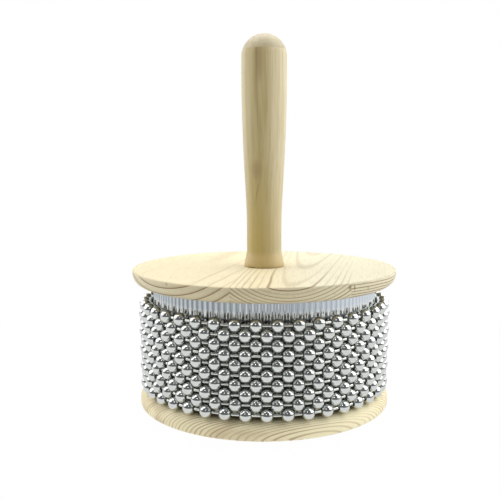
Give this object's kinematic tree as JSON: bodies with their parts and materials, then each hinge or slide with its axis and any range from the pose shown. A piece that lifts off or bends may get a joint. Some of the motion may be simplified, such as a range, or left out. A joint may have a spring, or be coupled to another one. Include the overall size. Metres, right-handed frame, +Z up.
{
  "type": "cabasa",
  "caption": "Cabasa shaker: a fluted steel drum between wooden discs, with a turned handle, and loops of steel ball chain that turn and slide round the drum.",
  "frame": {"origin": "centre of the base disc's underside, on the drum's axis", "axes": "+Z up the drum's axis towards the end of the handle, -Y the side that the picture shows, +X to its right"},
  "size_m": [0.1374, 0.1374, 0.19],
  "materials": {
    "handle_wood": "turned close-grained wood, fine-sanded and left unpainted",
    "disc_wood": "pale pine with visible growth rings, fine-sanded",
    "core_wood": "plain turned softwood, hidden by the steel skin",
    "skin_steel": "fluted sheet steel, satin",
    "fixing_steel": "zinc-plated steel",
    "ball_chrome": "bright plated steel",
    "link_steel": "plated steel wire",
    "insert_brass": "turned brass"
  },
  "bodies": {
    "drum": {"handle": "handle_wood", "handle_insert": "insert_brass", "top_disc": "disc_wood", "base_disc": "disc_wood", "drum_core": "core_wood", "fluted_skin": "skin_steel", "seam_brads": "fixing_steel", "centre_bolt": "fixing_steel", "bolt_washer": "fixing_steel"},
    "chain_01": {"chain_01_balls": "ball_chrome", "chain_01_links": "link_steel"},
    "chain_02": {"chain_02_balls": "ball_chrome", "chain_02_links": "link_steel"},
    "chain_03": {"chain_03_balls": "ball_chrome", "chain_03_links": "link_steel"},
    "chain_04": {"chain_04_balls": "ball_chrome", "chain_04_links": "link_steel"},
    "chain_05": {"chain_05_balls": "ball_chrome", "chain_05_links": "link_steel"},
    "chain_06": {"chain_06_balls": "ball_chrome", "chain_06_links": "link_steel"},
    "chain_07": {"chain_07_balls": "ball_chrome", "chain_07_links": "link_steel"},
    "chain_08": {"chain_08_balls": "ball_chrome", "chain_08_links": "link_steel"},
    "chain_09": {"chain_09_balls": "ball_chrome", "chain_09_links": "link_steel"},
    "chain_10": {"chain_10_balls": "ball_chrome", "chain_10_links": "link_steel"}
  },
  "joints": [
    {"name": "chains_turn", "type": "hinge", "parent": "drum", "child": "chain_01", "pos_m": [0, 0, 0.0109], "axis": [0, 0, 1], "continuous": true},
    {"name": "chain_10_slide", "type": "slide", "parent": "chain_01", "child": "chain_10", "axis": [0, 0, 1], "range_m": [0, 0.0065]},
    {"name": "chain_02_slide", "type": "slide", "parent": "chain_01", "child": "chain_02", "axis": [0, 0, 1], "range_m": [0, 0.00073]},
    {"name": "chain_03_slide", "type": "slide", "parent": "chain_01", "child": "chain_03", "axis": [0, 0, 1], "range_m": [0, 0.00145]},
    {"name": "chain_04_slide", "type": "slide", "parent": "chain_01", "child": "chain_04", "axis": [0, 0, 1], "range_m": [0, 0.00217]},
    {"name": "chain_05_slide", "type": "slide", "parent": "chain_01", "child": "chain_05", "axis": [0, 0, 1], "range_m": [0, 0.00289]},
    {"name": "chain_06_slide", "type": "slide", "parent": "chain_01", "child": "chain_06", "axis": [0, 0, 1], "range_m": [0, 0.00362]},
    {"name": "chain_07_slide", "type": "slide", "parent": "chain_01", "child": "chain_07", "axis": [0, 0, 1], "range_m": [0, 0.00434]},
    {"name": "chain_08_slide", "type": "slide", "parent": "chain_01", "child": "chain_08", "axis": [0, 0, 1], "range_m": [0, 0.00506]},
    {"name": "chain_09_slide", "type": "slide", "parent": "chain_01", "child": "chain_09", "axis": [0, 0, 1], "range_m": [0, 0.00578]}
  ],
  "couplings": [
    {"joint": "chain_02_slide", "follows": "chain_10_slide", "ratio": 0.1111},
    {"joint": "chain_03_slide", "follows": "chain_10_slide", "ratio": 0.2222},
    {"joint": "chain_04_slide", "follows": "chain_10_slide", "ratio": 0.3333},
    {"joint": "chain_05_slide", "follows": "chain_10_slide", "ratio": 0.4444},
    {"joint": "chain_06_slide", "follows": "chain_10_slide", "ratio": 0.5556},
    {"joint": "chain_07_slide", "follows": "chain_10_slide", "ratio": 0.6667},
    {"joint": "chain_08_slide", "follows": "chain_10_slide", "ratio": 0.7778},
    {"joint": "chain_09_slide", "follows": "chain_10_slide", "ratio": 0.8889}
  ]
}
